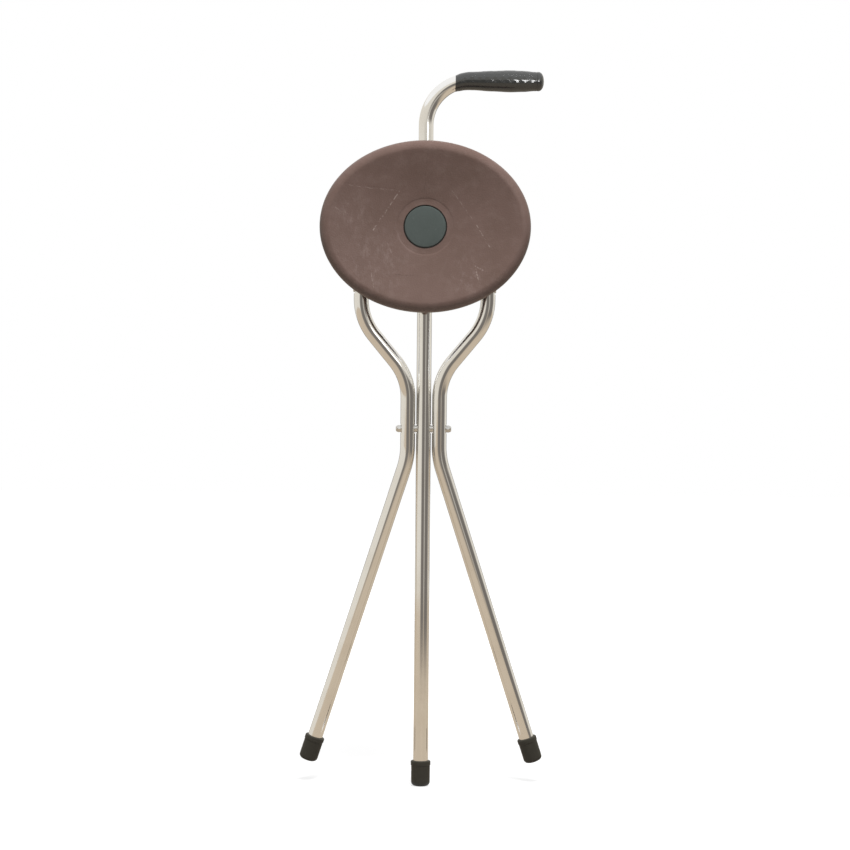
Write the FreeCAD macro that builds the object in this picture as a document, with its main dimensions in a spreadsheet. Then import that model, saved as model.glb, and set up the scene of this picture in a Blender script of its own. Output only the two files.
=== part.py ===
"""Walking stick seat: a folding stick with a curved handle, two bent legs and an oval seat.

The stick is upright and folded, as when it is carried. X runs along the handle, Z up the stick, and
the seat faces -Y. The origin is the middle of the hand grip. The legs turn on one bolt through the
stick. The seat turns on an axle between the leg tops, and a collar at its back edge slides on the stick.
The axle is as far from the bolt as from the collar's pins, so the seat turns back by exactly
twice the angle that the legs open by.
"""
import FreeCAD, Part
import math
import os
import re

import Sketcher

doc = FreeCAD.newDocument("walking_stick_seat")

# Driving dimensions, in millimetres and degrees
SIZES = {
    "tube_diameter": 17.5,
    "tube_wall": 1.5,
    "tube_gap": 1.2,
    "pivot_height": 424,
    "handle_height": 838,
    "handle_bend_radius": 53,
    "grip_reach": 34.5,
    "grip_length": 105,
    "grip_mouth_diameter": 19.6,
    "grip_neck_diameter": 22,
    "grip_belly_diameter": 26.2,
    "grip_nose_diameter": 22.4,
    "grip_nose_wall": 3,
    "grip_nose_length": 12,
    "grip_nose_rounding": 8,
    "grip_throat_share": 0.06,
    "grip_neck_share": 0.22,
    "grip_belly_share": 0.7,
    "grip_swell": 0.6,
    "ferrule_diameter": 23.4,
    "ferrule_length": 30,
    "ferrule_floor": 7,
    "ferrule_land_diameter": 12,
    "ferrule_lip_height": 5,
    "ferrule_lip_step": 0.5,
    "ferrule_lip_chamfer": 1.2,
    "ferrule_washer_thickness": 1.5,
    "tread_depth": 0.8,
    "tread_width": 1.6,
    "leg_top_reach": 75,
    "leg_splay_angle": 17.8,
    "leg_foot_drop": 400,
    "leg_end_margin": 9,
    "shoulder_height": 129.5,
    "waist_height": 61,
    "knee_drop": 34.5,
    "shoulder_bend_radius": 68,
    "knee_bend_radius": 90,
    "plug_depth": 3.2,
    "plug_head_height": 2.6,
    "plug_head_rounding": 2,
    "link_length": 166,
    "fold_travel": 56.5,
    "axle_diameter": 10,
    "axle_rest_gap": 0.3,
    "axle_flat_depth": 1.8,
    "axle_flat_diameter": 10.4,
    "axle_sleeve_wall": 2,
    "axle_screw_diameter": 6,
    "axle_screw_grip": 14,
    "axle_screw_head_diameter": 9.4,
    "axle_screw_head_height": 2.5,
    "bolt_diameter": 5,
    "running_clearance": 0.05,
    "side_clearance": 0.1,
    "flat_depth": 1.3,
    "flat_diameter": 9.2,
    "spacer_diameter": 8.6,
    "washer_thickness": 1,
    "nut_across_flats": 8,
    "nut_hex_height": 3.2,
    "nut_dome_height": 2.6,
    "nut_dome_rounding": 2.45,
    "nut_hole_depth": 4.2,
    "seat_width": 248,
    "seat_depth": 202,
    "seat_rise": 72,
    "seat_standoff": 15,
    "rim_height": 16.5,
    "rim_rounding": 9,
    "pan_wall": 3.5,
    "crest_land": 2.5,
    "frame_width": 96,
    "frame_length": 116,
    "dish_depth": 12,
    "land_diameter": 67,
    "rib_thickness": 2.5,
    "rib_spacing": 32,
    "cap_diameter": 49,
    "cap_thickness": 2.5,
    "cap_gap": 0.5,
    "cap_chamfer": 0.5,
    "cap_collar_wall": 1.6,
    "cap_collar_depth": 2.4,
    "well_diameter": 43,
    "well_floor": 3,
    "plate_width": 110,
    "plate_length": 130,
    "plate_thickness": 2,
    "plate_corner_radius": 18,
    "channel_width": 32,
    "channel_wall": 2,
    "channel_web_drop": 7,
    "channel_bend_radius": 3,
    "channel_ear_radius": 8.2,
    "channel_top_slope": 20,
    "seat_screw_diameter": 5,
    "seat_screw_spacing_x": 16,
    "seat_screw_spacing_z": 24,
    "seat_screw_head_diameter": 9.4,
    "seat_screw_head_height": 2.4,
    "seat_screw_hole_diameter": 5.3,
    "seat_nut_across_flats": 8,
    "seat_nut_height": 4,
    "seat_screw_overhang": 1,
    "bush_wall": 1,
    "bush_flange_diameter": 15,
    "bush_flange_thickness": 1.4,
    "collar_diameter": 24,
    "collar_clearance": 0.3,
    "collar_boss_diameter": 11,
    "collar_boss_reach": 13.6,
    "collar_above": 8,
    "collar_below": 13.5,
    "collar_chamfer": 1,
    "collar_pin_diameter": 5,
    "collar_pin_head_diameter": 8,
    "collar_pin_head_height": 1.5,
    "stop_pin_diameter": 5,
    "stop_pin_overhang": 2.5,
    "stop_gap": 0.3,
    "pin_end_chamfer": 0.5,
    "head_chamfer": 0.9,
}

sheet = doc.addObject("Spreadsheet::Sheet", "Sizes")
for row, (alias, number) in enumerate(SIZES.items(), start=1):
    sheet.set(f"A{row}", alias)
    sheet.set(f"B{row}", str(number))
    sheet.setAlias(f"B{row}", alias)
doc.recompute()

# Places that several pieces share, written in terms of the driving dimensions
STICK_X = "(0 - grip_reach - grip_length / 2)"
PIVOT_Z = "(pivot_height - handle_height)"
TUBE_RADIUS = "(tube_diameter / 2)"
BORE_RADIUS = "(tube_diameter / 2 - tube_wall)"
LEG_X = "(tube_diameter + tube_gap)"
FLAT_X = "(tube_diameter / 2 - flat_depth)"
AXLE_OFFSET = "(tube_diameter / 2 + axle_diameter / 2 + axle_rest_gap)"
REST_ANGLE = f"asin({AXLE_OFFSET} / link_length)"
LINK_RISE = f"sqrt(link_length * link_length - {AXLE_OFFSET} * {AXLE_OFFSET})"
OPEN_RISE = f"(2 * link_length * cos(fold_travel * 1 deg + {REST_ANGLE}))"
WEB_FRONT = "(channel_web_drop + channel_wall)"
PLATE_FRONT = f"({WEB_FRONT} + plate_thickness)"
DISH_FLOOR = "(seat_standoff + rim_height - dish_depth)"
CAP_BACK = f"({DISH_FLOOR} - cap_thickness)"
WELL_BACK = f"({PLATE_FRONT} + well_floor)"

ALL_ROUND = 360


def bound(text):
    """The expression text with each alias named in the sheet; every alias has an underscore."""
    return re.sub(r"(?<![\w.])([a-z]+(?:_[a-z]+)+)", r"Sizes.\1", str(text))


def value(text):
    """The present value of an expression."""
    result = sheet.evalExpression(bound(text))
    return float(getattr(result, "Value", result))


def bind(feature, prop, text):
    feature.setExpression(prop, bound(text))


class Datum:
    """A place that pieces are built round: steps of a shift (x, y, z), then a turn about an axis."""

    def __init__(self, *steps):
        parts = []
        for x, y, z, axis, angle in steps:
            way = {"x": "1; 0; 0", "y": "0; 1; 0", "z": "0; 0; 1"}[axis]
            shift = f"vector({x}; {y}; {z})"
            parts.append(f"placement({shift}; rotation(vector({way}); {angle}))")
        self.text = " * ".join(parts)

    def hold(self, feature):
        bind(feature, "Placement", self.text)


LEG_STEP = (STICK_X, "0", PIVOT_Z, "x", REST_ANGLE)
STICK = Datum((STICK_X, "0", PIVOT_Z, "x", "0"))
LEGS = Datum(LEG_STEP)
SEAT = Datum((STICK_X, f"0 - {AXLE_OFFSET}", f"{PIVOT_Z} + {LINK_RISE}", "x", "0"))
COLLAR = Datum((STICK_X, "0", f"{PIVOT_Z} + 2 * {LINK_RISE}", "x", "0"))
STICK_FOOT = Datum((STICK_X, "0", "0 - handle_height", "x", "0"))
HANDLE = Datum((STICK_X, "0", "0", "x", "0"))


def leg_foot(side):
    """The tip of a leg, with Z up along the splayed run of the tube."""
    reach = "(leg_foot_drop - knee_drop) * tan(leg_splay_angle)"
    across = f"{side} * ({LEG_X} + {reach})"
    return Datum(LEG_STEP, (across, "0", "0 - leg_foot_drop", "y", f"{-side} * leg_splay_angle"))


def leg_top(side):
    """The open top end of a leg tube."""
    return Datum(
        LEG_STEP, (f"{side} * leg_top_reach", "0", "link_length + leg_end_margin", "x", "0")
    )


subparts = []


def new_body(label, datum):
    body = doc.addObject("PartDesign::Body", label)
    body.Label = label
    datum.hold(body)
    subparts.append(body)
    return body


def new_sketch(body, plane, offset="0"):
    """A sketch on one of the body's origin planes, moved along the plane's normal by offset."""
    sketch = body.newObject("Sketcher::SketchObject", f"{body.Label}_sketch")
    origin_plane = next(f for f in body.Origin.OriginFeatures if f.Role == plane)
    sketch.AttachmentSupport = [(origin_plane, "")]
    sketch.MapMode = "FlatFace"
    if offset != "0":
        bind(sketch, "AttachmentOffset.Base.z", offset)
    return sketch


def pin(sketch, geometry, point, across, up):
    """Fixes a point of the sketch at two expressions, measured from the sketch's origin."""
    for kind, axis, text in (("DistanceX", -2, across), ("DistanceY", -1, up)):
        if text == "0":
            sketch.addConstraint(Sketcher.Constraint("PointOnObject", geometry, point, axis))
            continue
        rule = Sketcher.Constraint(kind, -1, 1, geometry, point, value(text))
        bind(sketch, f"Constraints[{sketch.addConstraint(rule)}]", text)


def add_circle(sketch, across, up, radius):
    centre = FreeCAD.Vector(value(across), value(up), 0)
    circle = Part.Circle(centre, FreeCAD.Vector(0, 0, 1), value(radius))
    index = sketch.addGeometry(circle, False)
    pin(sketch, index, 3, across, up)
    rule = Sketcher.Constraint("Radius", index, value(radius))
    bind(sketch, f"Constraints[{sketch.addConstraint(rule)}]", radius)


def add_outline(sketch, corners):
    """A closed outline of straight edges whose corners are pairs of expressions."""
    points = [FreeCAD.Vector(value(u), value(v), 0) for u, v in corners]
    ends = points[1:] + points[:1]
    lines = [sketch.addGeometry(Part.LineSegment(*pair), False) for pair in zip(points, ends)]
    for line, following in zip(lines, lines[1:] + lines[:1]):
        sketch.addConstraint(Sketcher.Constraint("Coincident", line, 2, following, 1))
    for line, (across, up) in zip(lines, corners):
        pin(sketch, line, 1, across, up)


def add_bent_path(sketch, corners, radii):
    """An open path of straight runs joined by tangent arcs. The runs lie on construction lines
    between the corners, and each inner corner has the bend radius given for it."""
    points = [FreeCAD.Vector(value(u), value(v), 0) for u, v in corners]
    runs = len(points) - 1
    for start, end in zip(points, points[1:]):
        sketch.addGeometry(Part.LineSegment(start, end), True)
    for i in range(runs - 1):
        sketch.addConstraint(Sketcher.Constraint("Coincident", i, 2, i + 1, 1))
    for i, (across, up) in enumerate(corners[:-1]):
        pin(sketch, i, 1, across, up)
    pin(sketch, runs - 1, 2, *corners[-1])
    ends = [[points[0], None]]
    arcs = []
    for i in range(1, runs):
        back = (points[i - 1] - points[i]).normalize()
        ahead = (points[i + 1] - points[i]).normalize()
        half = back.getAngle(ahead) / 2
        radius = value(radii[i - 1])
        cut = radius / math.tan(half)
        first, last = points[i] + back * cut, points[i] + ahead * cut
        centre = points[i] + (back + ahead).normalize() * (radius / math.sin(half))
        left_turn = (first - centre).cross(last - centre).z > 0
        turns = [p - centre for p in ((first, last) if left_turn else (last, first))]
        angles = [math.atan2(spoke.y, spoke.x) for spoke in turns]
        circle = Part.Circle(centre, FreeCAD.Vector(0, 0, 1), radius)
        arcs.append((Part.ArcOfCircle(circle, *angles), (1, 2) if left_turn else (2, 1)))
        ends[-1][1] = first
        ends.append([last, None])
    ends[-1][1] = points[-1]
    lines = [sketch.addGeometry(Part.LineSegment(a, b), False) for a, b in ends]
    for i, (arc, (near, far)) in enumerate(arcs):
        bend = sketch.addGeometry(arc, False)
        sketch.addConstraint(Sketcher.Constraint("Tangent", lines[i], 2, bend, near))
        sketch.addConstraint(Sketcher.Constraint("Tangent", lines[i + 1], 1, bend, far))
        rule = Sketcher.Constraint("Radius", bend, arc.Radius)
        bind(sketch, f"Constraints[{sketch.addConstraint(rule)}]", radii[i])
    for i, line in enumerate(lines):
        if i == 0:
            sketch.addConstraint(Sketcher.Constraint("Coincident", line, 1, 0, 1))
        else:
            sketch.addConstraint(Sketcher.Constraint("PointOnObject", line, 1, i))
        if i == runs - 1:
            sketch.addConstraint(Sketcher.Constraint("Coincident", line, 2, runs - 1, 2))
        else:
            sketch.addConstraint(Sketcher.Constraint("PointOnObject", line, 2, i))


def extrude(body, kind, sketch, length, reverse=False, both_ways=False):
    """A Pad or a Pocket of the sketch. A Pad runs along the sketch's normal unless reversed."""
    feature = body.newObject(f"PartDesign::{kind}", f"{body.Label}_{kind.lower()}")
    feature.Profile = sketch
    feature.Reversed = reverse
    feature.Midplane = both_ways
    bind(feature, "Length", length)
    sketch.Visibility = False
    doc.recompute()
    return feature


def turn(body, corners, axis):
    """A full revolution of an outline drawn in the XZ plane, about its H_Axis (X) or V_Axis (Z)."""
    sketch = new_sketch(body, "XZ_Plane")
    add_outline(sketch, corners)
    feature = body.newObject("PartDesign::Revolution", f"{body.Label}_turned")
    feature.Profile = sketch
    feature.ReferenceAxis = (sketch, [axis])
    feature.Angle = ALL_ROUND
    doc.recompute()
    return feature


def edge_names(shape, wanted):
    """Names of the shape's edges that pass the test."""
    return [f"Edge{n}" for n, edge in enumerate(shape.Edges, start=1) if wanted(edge)]


def round_edges(body, wanted, radius):
    base = body.Tip
    feature = body.newObject("PartDesign::Fillet", f"{body.Label}_rounding")
    feature.Base = (base, edge_names(base.Shape, wanted))
    bind(feature, "Radius", radius)
    doc.recompute()
    return feature


def cut_edges(body, wanted, size):
    base = body.Tip
    feature = body.newObject("PartDesign::Chamfer", f"{body.Label}_chamfer")
    feature.Base = (base, edge_names(base.Shape, wanted))
    bind(feature, "Size", size)
    doc.recompute()
    return feature


def is_circle(edge, radius, direction, position=None):
    """True for a full circle of that radius that faces direction, at that position along it."""
    curve = edge.Curve
    if not isinstance(curve, Part.Circle) or abs(curve.Radius - radius) > 0.01:
        return False
    if abs(abs(curve.Axis.dot(direction)) - 1) > 0.001:
        return False
    return position is None or abs(curve.Center.dot(direction) - position) < 0.01


X_WAY = FreeCAD.Vector(1, 0, 0)
Z_WAY = FreeCAD.Vector(0, 0, 1)


def bent_tube(label, datum, corners, radii):
    """A round tube along a bent path in the XZ plane. The path's first run is upright."""
    body = new_body(label, datum)
    path = new_sketch(body, "XZ_Plane")
    add_bent_path(path, corners, radii)
    section = new_sketch(body, "XY_Plane", corners[0][1])
    add_circle(section, corners[0][0], "0", TUBE_RADIUS)
    add_circle(section, corners[0][0], "0", BORE_RADIUS)
    pipe = body.newObject("PartDesign::AdditivePipe", f"{label}_pipe")
    pipe.Profile = section
    pipe.Spine = path
    doc.recompute()
    return body


def press_flat(body, side, centre, height, depth, diameter):
    """A round flat pressed into the tube wall, as a seat for a washer or an axle end."""
    face = f"{centre} + {side} * ({TUBE_RADIUS} - {depth})"
    inner = new_sketch(body, "YZ_Plane", face)
    add_circle(inner, "0", height, f"{diameter} / 2")
    extrude(body, "Pad", inner, "tube_wall", reverse=side > 0)
    outer = new_sketch(body, "YZ_Plane", face)
    add_circle(outer, "0", height, f"{diameter} / 2")
    extrude(body, "Pocket", outer, f"2 * {depth}", reverse=side > 0)


def drill_across(body, radius, height="0", across="0"):
    """A round hole right through along X at a height above the datum."""
    sketch = new_sketch(body, "YZ_Plane")
    add_circle(sketch, across, height, radius)
    extrude(body, "Pocket", sketch, "4 * leg_top_reach", both_ways=True)


def side_name(side):
    return "right" if side > 0 else "left"


STOP_Z = f"{OPEN_RISE} - collar_below - stop_gap - stop_pin_diameter / 2"
TUBE_FOOT = "(ferrule_floor + ferrule_washer_thickness)"
HANDLE_RISE = "(handle_height - pivot_height)"
HANDLE_PATH_END = "grip_reach + grip_length - grip_nose_wall"


def make_stick_tube():
    corners = [
        ("0", f"{TUBE_FOOT} - pivot_height"),
        ("0", HANDLE_RISE),
        (HANDLE_PATH_END, HANDLE_RISE),
    ]
    tube = bent_tube("stick_tube", STICK, corners, ["handle_bend_radius"])
    for side in (-1, 1):
        press_flat(tube, side, "0", "0", "flat_depth", "flat_diameter")
    drill_across(tube, "bolt_diameter / 2 + running_clearance")
    drill_across(tube, "stop_pin_diameter / 2", STOP_Z)


def make_leg_tube(side):
    run = f"(leg_foot_drop - knee_drop - {TUBE_FOOT} * cos(leg_splay_angle))"
    corners = [
        (f"{side} * leg_top_reach", "link_length + leg_end_margin"),
        (f"{side} * leg_top_reach", "shoulder_height"),
        (f"{side} * {LEG_X}", "waist_height"),
        (f"{side} * {LEG_X}", "0 - knee_drop"),
        (f"{side} * ({LEG_X} + {run} * tan(leg_splay_angle))", f"0 - knee_drop - {run}"),
    ]
    radii = ["shoulder_bend_radius", "shoulder_bend_radius", "knee_bend_radius"]
    tube = bent_tube(f"{side_name(side)}_leg", LEGS, corners, radii)
    for flat_side in (-1, 1):
        press_flat(tube, flat_side, f"{side} * {LEG_X}", "0", "flat_depth", "flat_diameter")
        press_flat(
            tube, flat_side, f"{side} * leg_top_reach", "link_length",
            "axle_flat_depth", "axle_flat_diameter",
        )
    drill_across(tube, "bolt_diameter / 2 + running_clearance")
    drill_across(tube, "axle_screw_diameter / 2", "link_length")


def make_grip():
    """The grip is fatter at the palm and follows the start of the handle's bend."""
    grip = new_body("hand_grip", HANDLE)
    nose_start = "(grip_reach + grip_length - grip_nose_length)"
    nose = new_sketch(grip, "YZ_Plane", nose_start)
    add_circle(nose, "0", "0", "grip_nose_diameter / 2")
    extrude(grip, "Pad", nose, "grip_nose_length")
    radius = value("grip_nose_diameter / 2")
    tip = value("grip_reach + grip_length")
    round_edges(grip, lambda edge: is_circle(edge, radius, X_WAY, tip), "grip_nose_rounding")
    bend_start = "(handle_bend_radius - grip_reach)"
    level = f"sqrt(handle_bend_radius * handle_bend_radius - {bend_start} * {bend_start})"
    sag = f"(handle_bend_radius - {level})"

    def between(start, end):
        return f"{start} + grip_swell * ({end} - {start})"

    stations = [
        ("0", "grip_mouth_diameter", f"0 - {sag}"),
        (
            "grip_throat_share", between("grip_mouth_diameter", "grip_neck_diameter"),
            f"0 - (1 - grip_swell) * (1 - grip_throat_share) * {sag}",
        ),
        ("grip_neck_share", "grip_neck_diameter", "0"),
        (
            "(grip_neck_share + grip_belly_share) / 2",
            between("grip_neck_diameter", "grip_belly_diameter"), "0",
        ),
        ("grip_belly_share", "grip_belly_diameter", "0"),
        (
            "(grip_belly_share + 1) / 2",
            between("grip_nose_diameter", "grip_belly_diameter"), "0",
        ),
        ("1", "grip_nose_diameter", "0"),
    ]
    rings = []
    for share, diameter, height in stations:
        place = f"grip_reach + {share} * (grip_length - grip_nose_length)"
        ring_sketch = new_sketch(grip, "YZ_Plane", place)
        add_circle(ring_sketch, "0", height, f"({diameter}) / 2")
        rings.append(ring_sketch)
    skin = grip.newObject("PartDesign::AdditiveLoft", "grip_skin")
    skin.Profile = rings[0]
    skin.Sections = rings[1:]
    doc.recompute()
    path = new_sketch(grip, "XZ_Plane")
    corners = [("0", "0 - 2 * handle_bend_radius"), ("0", "0"), (HANDLE_PATH_END, "0")]
    add_bent_path(path, corners, ["handle_bend_radius"])
    section = new_sketch(grip, "XY_Plane", corners[0][1])
    add_circle(section, "0", "0", TUBE_RADIUS)
    bore = grip.newObject("PartDesign::SubtractivePipe", "grip_bore")
    bore.Profile = section
    bore.Spine = path
    doc.recompute()


def make_ferrule(label, datum):
    """A rubber foot: a thick cup with a lip, a rounded bottom and one ring groove in the tread."""
    outer = "ferrule_diameter / 2"
    inner = f"{outer} - ferrule_lip_step"
    lip = "ferrule_length - ferrule_lip_height"
    corners = [
        ("0", "0"), (inner, "0"), (inner, lip), (outer, f"{lip} + ferrule_lip_step"),
        (outer, "ferrule_length"), (TUBE_RADIUS, "ferrule_length"),
        (TUBE_RADIUS, "ferrule_floor"), ("0", "ferrule_floor"),
    ]
    body = new_body(label, datum)
    turn(body, corners, "V_Axis")
    bottom = value(inner)
    round_edges(
        body, lambda edge: is_circle(edge, bottom, Z_WAY, 0),
        f"{inner} - ferrule_land_diameter / 2",
    )
    top = value("ferrule_length")
    lip_radius = value(outer)
    cut_edges(body, lambda edge: is_circle(edge, lip_radius, Z_WAY, top), "ferrule_lip_chamfer")
    tread = new_sketch(body, "XY_Plane")
    add_circle(tread, "0", "0", "ferrule_land_diameter / 4 + tread_width / 2")
    add_circle(tread, "0", "0", "ferrule_land_diameter / 4 - tread_width / 2")
    extrude(body, "Pocket", tread, "tread_depth", reverse=True)


def make_ferrule_washer(label, datum):
    body = new_body(label, datum)
    sketch = new_sketch(body, "XY_Plane", "ferrule_floor")
    add_circle(sketch, "0", "0", TUBE_RADIUS)
    extrude(body, "Pad", sketch, "ferrule_washer_thickness")


def make_leg_plug(side):
    """The plug that closes the top of a leg tube."""
    body = new_body(f"{side_name(side)}_leg_plug", leg_top(side))
    corners = [
        ("0", "0 - plug_depth"), (BORE_RADIUS, "0 - plug_depth"), (BORE_RADIUS, "0"),
        (TUBE_RADIUS, "0"), (TUBE_RADIUS, "plug_head_height"), ("0", "plug_head_height"),
    ]
    turn(body, corners, "V_Axis")
    rim = value(TUBE_RADIUS)
    top = value("plug_head_height")
    round_edges(body, lambda edge: is_circle(edge, rim, Z_WAY, top), "plug_head_rounding")


def make_stop_pin():
    half = f"({TUBE_RADIUS} + stop_pin_overhang)"
    body = new_body("stop_pin", STICK)
    sketch = new_sketch(body, "YZ_Plane", f"0 - {half}")
    add_circle(sketch, "0", STOP_Z, "stop_pin_diameter / 2")
    extrude(body, "Pad", sketch, f"2 * {half}")
    soften_ends(body, "stop_pin_diameter / 2")


def soften_ends(body, radius):
    """Chamfers both ends of a pin of that radius that lies along X."""
    rim = value(radius)
    cut_edges(body, lambda edge: is_circle(edge, rim, X_WAY), "pin_end_chamfer")


def cross_ring(label, datum, hole, radius, side, near, far, height="0"):
    """A ring or disc round an axis parallel to X, from near to far on one side of the middle."""
    body = new_body(label, datum)
    start, length = (near, f"({far}) - ({near})")
    if side < 0:
        start = f"0 - ({far})"
    sketch = new_sketch(body, "YZ_Plane", start)
    add_circle(sketch, "0", height, radius)
    if hole is not None:
        add_circle(sketch, "0", height, hole)
    extrude(body, "Pad", sketch, length)
    return body


LEG_INNER_FACE = f"({LEG_X} - {FLAT_X})"
LEG_OUTER_FACE = f"({LEG_X} + {FLAT_X})"
BOLT_RADIUS = "bolt_diameter / 2"
NUT_SEAT = f"({LEG_OUTER_FACE} + washer_thickness)"


def make_pivot(side):
    name = side_name(side)
    cross_ring(
        f"pivot_spacer_{name}", STICK, f"{BOLT_RADIUS} + running_clearance",
        "spacer_diameter / 2", side, FLAT_X, f"{LEG_INNER_FACE} - side_clearance",
    )
    cross_ring(
        f"pivot_washer_{name}", LEGS, BOLT_RADIUS, "flat_diameter / 2 - side_clearance",
        side, LEG_OUTER_FACE, NUT_SEAT,
    )
    nut = new_body(f"pivot_nut_{name}", LEGS)
    hexagon = new_sketch(nut, "YZ_Plane", f"{side} * {NUT_SEAT}")
    add_hexagon(hexagon, "nut_across_flats")
    extrude(nut, "Pad", hexagon, "nut_hex_height", reverse=side < 0)
    dome = new_sketch(nut, "YZ_Plane", f"{side} * ({NUT_SEAT} + nut_hex_height)")
    add_circle(dome, "0", "0", "nut_across_flats / 2 - side_clearance")
    extrude(nut, "Pad", dome, "nut_dome_height", reverse=side < 0)
    rim = value("nut_across_flats / 2 - side_clearance")
    end = side * value(f"{NUT_SEAT} + nut_hex_height + nut_dome_height")
    round_edges(nut, lambda edge: is_circle(edge, rim, X_WAY, end), "nut_dome_rounding")
    hole = new_sketch(nut, "YZ_Plane", f"{side} * {NUT_SEAT}")
    add_circle(hole, "0", "0", BOLT_RADIUS)
    extrude(nut, "Pocket", hole, "nut_hole_depth", reverse=side > 0)


def add_hexagon(sketch, across_flats, across="0", up="0"):
    """A hexagon with two corners level with its centre."""
    flat = f"({across_flats}) / 2"
    corner = f"({across_flats}) / (2 * cos(30))"
    half = f"({across_flats}) / (4 * cos(30))"
    offsets = [
        (corner, "0"), (half, flat), (f"0 - {half}", flat),
        (f"0 - {corner}", "0"), (f"0 - {half}", f"0 - {flat}"), (half, f"0 - {flat}"),
    ]
    add_outline(sketch, [(f"({across}) + {u}", f"({up}) + {v}") for u, v in offsets])


def make_pivot_bolt():
    reach = f"({NUT_SEAT} + nut_hole_depth - side_clearance)"
    body = new_body("pivot_bolt", LEGS)
    sketch = new_sketch(body, "YZ_Plane", f"0 - {reach}")
    add_circle(sketch, "0", "0", BOLT_RADIUS)
    extrude(body, "Pad", sketch, f"2 * {reach}")
    soften_ends(body, BOLT_RADIUS)


AXLE_FLAT_X = "(tube_diameter / 2 - axle_flat_depth)"
AXLE_END = f"(leg_top_reach - {AXLE_FLAT_X})"
AXLE_SCREW_TIP = f"({AXLE_END} - axle_screw_grip)"


def make_seat_axle():
    body = new_body("seat_axle", LEGS)
    sketch = new_sketch(body, "YZ_Plane", f"0 - {AXLE_END}")
    add_circle(sketch, "0", "link_length", "axle_diameter / 2")
    extrude(body, "Pad", sketch, f"2 * {AXLE_END}")
    for side in (-1, 1):
        hole = new_sketch(body, "YZ_Plane", f"{side} * {AXLE_END}")
        add_circle(hole, "0", "link_length", "axle_screw_diameter / 2")
        extrude(body, "Pocket", hole, "axle_screw_grip", reverse=side < 0)


def make_axle_side(side):
    name = side_name(side)
    bore = "axle_diameter / 2 + running_clearance"
    cross_ring(
        f"axle_sleeve_{name}", LEGS, bore, f"{bore} + axle_sleeve_wall",
        side, "channel_width / 2 + bush_flange_thickness + side_clearance",
        f"leg_top_reach - {TUBE_RADIUS} - side_clearance", "link_length",
    )
    head = f"(leg_top_reach + {AXLE_FLAT_X})"
    screw = cross_ring(
        f"axle_screw_{name}", LEGS, None, "axle_screw_diameter / 2",
        side, f"{AXLE_SCREW_TIP} + side_clearance", head, "link_length",
    )
    cap = new_sketch(screw, "YZ_Plane", f"{side} * {head}")
    add_circle(cap, "0", "link_length", "axle_screw_head_diameter / 2")
    extrude(screw, "Pad", cap, "axle_screw_head_height", reverse=side < 0)
    rim = value("axle_screw_head_diameter / 2")
    end = side * value(f"{head} + axle_screw_head_height")
    cut_edges(screw, lambda edge: is_circle(edge, rim, X_WAY, end), "head_chamfer")


SEAT_HALF_X = "(seat_width / 2)"
SEAT_HALF_Z = "(seat_depth / 2)"
RIM_TOP = "(seat_standoff + rim_height)"
CREST_INSET = "(rim_rounding + crest_land)"
SKIRT_TOP = f"({RIM_TOP} - pan_wall)"
LAND_RADIUS = "(land_diameter / 2)"
CAP_RECESS_RADIUS = "(cap_diameter / 2 + cap_gap)"
Y_WAY = FreeCAD.Vector(0, 1, 0)


def add_ellipse(sketch, half_across, half_up, up):
    """An ellipse on the sketch's vertical axis, wider than it is tall."""
    centre = FreeCAD.Vector(0, value(up), 0)
    east = centre + FreeCAD.Vector(value(half_across), 0, 0)
    north = centre + FreeCAD.Vector(0, value(half_up), 0)
    index = sketch.addGeometry(Part.Ellipse(east, north, centre), False)
    sketch.exposeInternalGeometry(index)
    sketch.addConstraint(Sketcher.Constraint("Horizontal", index + 1))
    pin(sketch, index, 3, "0", up)
    for axis, length in ((index + 1, half_across), (index + 2, half_up)):
        rule = Sketcher.Constraint("Distance", axis, 2 * value(length))
        bind(sketch, f"Constraints[{sketch.addConstraint(rule)}]", f"2 * ({length})")


def oval(body, depth, inset):
    """A sketch of the seat's oval, inset from its edge, at a depth in front of the axle."""
    sketch = new_sketch(body, "XZ_Plane", depth)
    add_ellipse(sketch, f"{SEAT_HALF_X} - {inset}", f"{SEAT_HALF_Z} - {inset}", "seat_rise")
    return sketch


def disc(body, depth, *radii):
    """A sketch of circles about the middle of the seat."""
    sketch = new_sketch(body, "XZ_Plane", depth)
    for radius in radii:
        add_circle(sketch, "0", "seat_rise", radius)
    return sketch


def loft(body, kind, sections):
    feature = body.newObject(f"PartDesign::{kind}", f"{body.Label}_{kind.lower()}")
    feature.Profile = sections[0]
    feature.Sections = sections[1:]
    doc.recompute()
    return feature


def add_box(sketch, half_across, half_up, across="0", up="seat_rise"):
    """A rectangle about a point, given by its half sizes."""
    ways = ((-1, -1), (1, -1), (1, 1), (-1, 1))
    add_outline(
        sketch,
        [(f"{across} + {u} * ({half_across})", f"{up} + {v} * ({half_up})") for u, v in ways],
    )


def screw_places():
    for u in (-1, 1):
        for v in (-1, 1):
            yield (f"{u} * seat_screw_spacing_x / 2", f"seat_rise + {v} * seat_screw_spacing_z / 2")


def drill_screws(body, depth, length):
    """The four screw holes, cut backwards from a depth."""
    sketch = new_sketch(body, "XZ_Plane", depth)
    for across, up in screw_places():
        add_circle(sketch, across, up, "seat_screw_hole_diameter / 2")
    extrude(body, "Pocket", sketch, length)


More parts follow.
